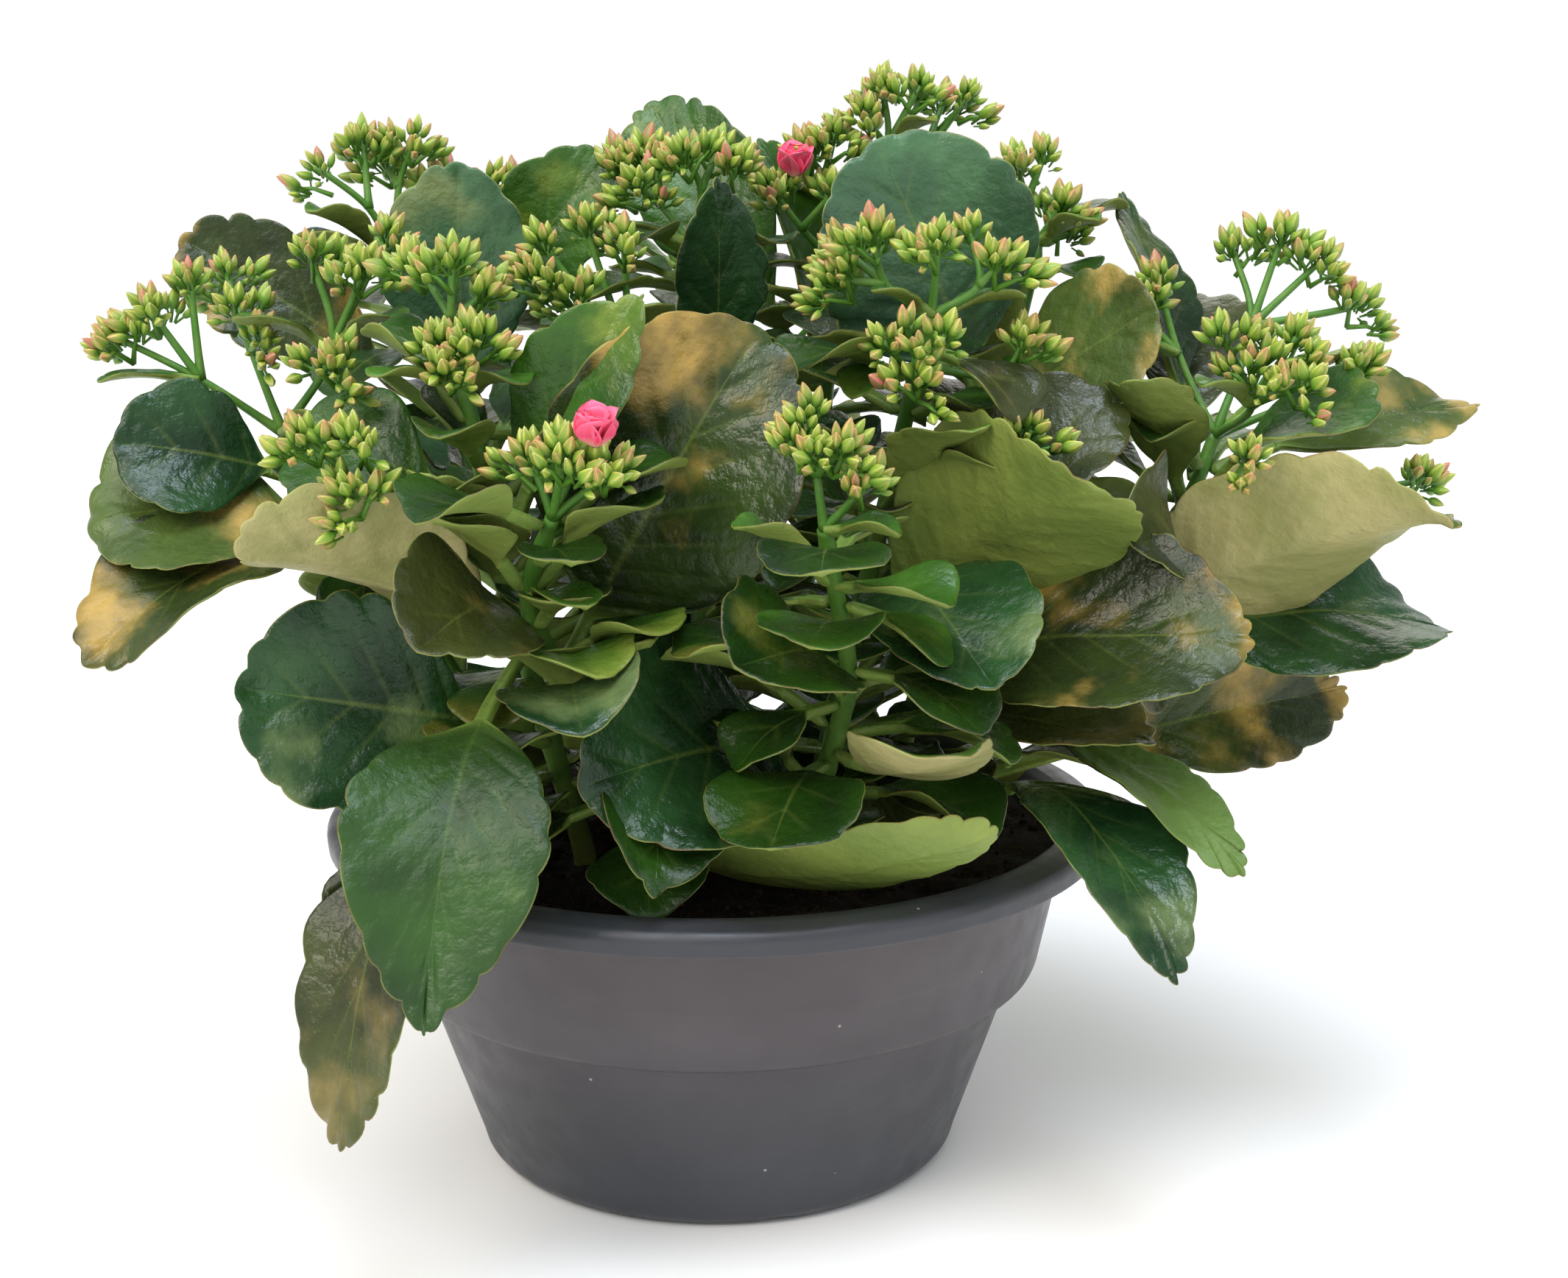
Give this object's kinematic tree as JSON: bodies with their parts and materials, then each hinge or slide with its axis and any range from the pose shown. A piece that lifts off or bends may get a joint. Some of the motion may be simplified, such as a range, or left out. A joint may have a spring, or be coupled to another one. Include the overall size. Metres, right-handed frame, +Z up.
{
  "type": "potted kalanchoe",
  "caption": "Bushy potted kalanchoe in bud, with scalloped succulent leaves, forked heads of green buds and pink flowers, in a dark plastic nursery bowl.",
  "frame": {"origin": "middle of the bowl's underside, on the surface it stands on", "axes": "+Z up along the bowl's axis, front of the plant towards -Y, +X to the right as seen from the front"},
  "size_m": [0.3906, 0.305, 0.3192],
  "materials": {
    "pot_plastic": "satin anthracite",
    "peat": "rough crumbs",
    "stem_green": "smooth fleshy",
    "bud_green": "smooth",
    "petal_pink": "soft matte",
    "leaf_green": "glossy waxy, pale below"
  },
  "bodies": {
    "root": {"flower_back": "petal_pink", "flower_front": "petal_pink", "flower_stem_a": "stem_green", "flower_stem_b": "stem_green", "flower_stem_c": "stem_green", "flower_stem_d": "stem_green", "flower_stem_e": "stem_green", "flower_stem_f": "stem_green", "flower_stem_g": "stem_green", "flower_stem_h": "stem_green", "flower_stem_i": "stem_green", "flower_stem_j": "stem_green", "flower_stem_k": "stem_green", "leaf_a1": "leaf_green", "leaf_a2": "leaf_green", "leaf_a3": "leaf_green", "leaf_b1": "leaf_green", "leaf_b2": "leaf_green", "leaf_b3": "leaf_green", "leaf_b4": "leaf_green", "leaf_b5": "leaf_green", "leaf_c1": "leaf_green", "leaf_c2": "leaf_green", "leaf_c3": "leaf_green", "leaf_c4": "leaf_green", "leaf_c5": "leaf_green", "leaf_c6": "leaf_green", "leaf_c7": "leaf_green", "leaf_c8": "leaf_green", "leaf_d1": "leaf_green", "leaf_d2": "leaf_green", "leaf_d3": "leaf_green", "leaf_e1": "leaf_green", "leaf_f1": "leaf_green", "leaf_g1": "leaf_green", "leaf_g2": "leaf_green", "leaf_g3": "leaf_green", "leaf_g4": "leaf_green", "leaf_g5": "leaf_green", "leaf_g6": "leaf_green", "leaf_h1": "leaf_green", "leaf_h2": "leaf_green", "leaf_i1": "leaf_green", "leaf_i2": "leaf_green", "leaf_i3": "leaf_green", "leaf_i4": "leaf_green", "leaf_j1": "leaf_green", "leaf_j10": "leaf_green", "leaf_j2": "leaf_green", "leaf_j3": "leaf_green", "leaf_j4": "leaf_green", "leaf_j5": "leaf_green", "leaf_j6": "leaf_green", "leaf_j7": "leaf_green", "leaf_j8": "leaf_green", "leaf_j9": "leaf_green", "leaf_k1": "leaf_green", "leaf_k2": "leaf_green", "pot": "pot_plastic", "soil": "peat"}
  },
  "joints": []
}
